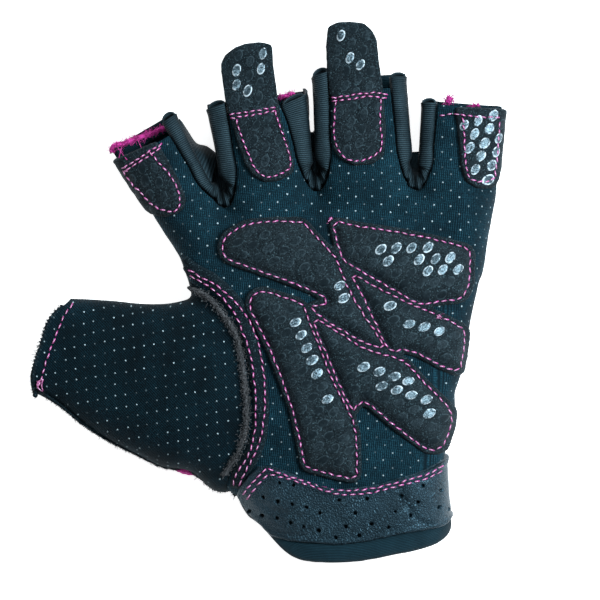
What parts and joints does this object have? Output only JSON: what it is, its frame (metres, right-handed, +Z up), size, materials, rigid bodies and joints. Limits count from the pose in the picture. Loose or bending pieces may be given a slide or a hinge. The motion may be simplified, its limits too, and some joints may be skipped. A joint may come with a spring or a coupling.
{
  "type": "fingerless weightlifting glove",
  "caption": "Left-hand fingerless lifting glove lying palm up, with padded suede palm cells, pull tabs and a leather wrist cuff.",
  "frame": {"origin": "on the surface under the middle of the glove's bounding box", "axes": "+Y to the fingertips, +X to the little finger's side, +Z up out of the palm"},
  "size_m": [0.146, 0.1644, 0.0301],
  "materials": {
    "palm_knit": "dotted stretch knit",
    "thumb_knit": "dotted stretch knit",
    "back_knit": "plain stretch knit",
    "rib_knit": "ribbed stretch knit",
    "suede": "suede with raised glossy ovals",
    "padded_suede": "padded suede with raised glossy ovals",
    "cuff_leather": "smooth perforated leather",
    "binding": "ribbed binding",
    "felt": "felt edge",
    "pink_edging": "fuzzy edging"
  },
  "bodies": {
    "root": {"palm_panel": "palm_knit", "back_panel": "back_knit", "thumb_sleeve": "thumb_knit", "thumb_seam_welt": "felt", "fourchette_index_middle": "rib_knit", "fourchette_middle_ring": "rib_knit", "fourchette_ring_little": "rib_knit", "finger_patch_index": "suede", "finger_patch_little": "suede", "pull_tab_middle": "suede", "pull_tab_ring": "suede", "finger_hem_index": "pink_edging", "finger_hem_middle": "pink_edging", "finger_hem_ring": "pink_edging", "finger_hem_little": "pink_edging", "palm_overlay": "suede", "pad_index_centre": "padded_suede", "pad_little_upper": "padded_suede", "pad_little_middle": "padded_suede", "pad_heel_little": "padded_suede", "pad_heel_thumb": "padded_suede", "wrist_cuff": "cuff_leather", "wrist_hem": "binding", "wrist_closure_tab": "binding", "thumb_base_piping": "pink_edging"}
  },
  "joints": []
}
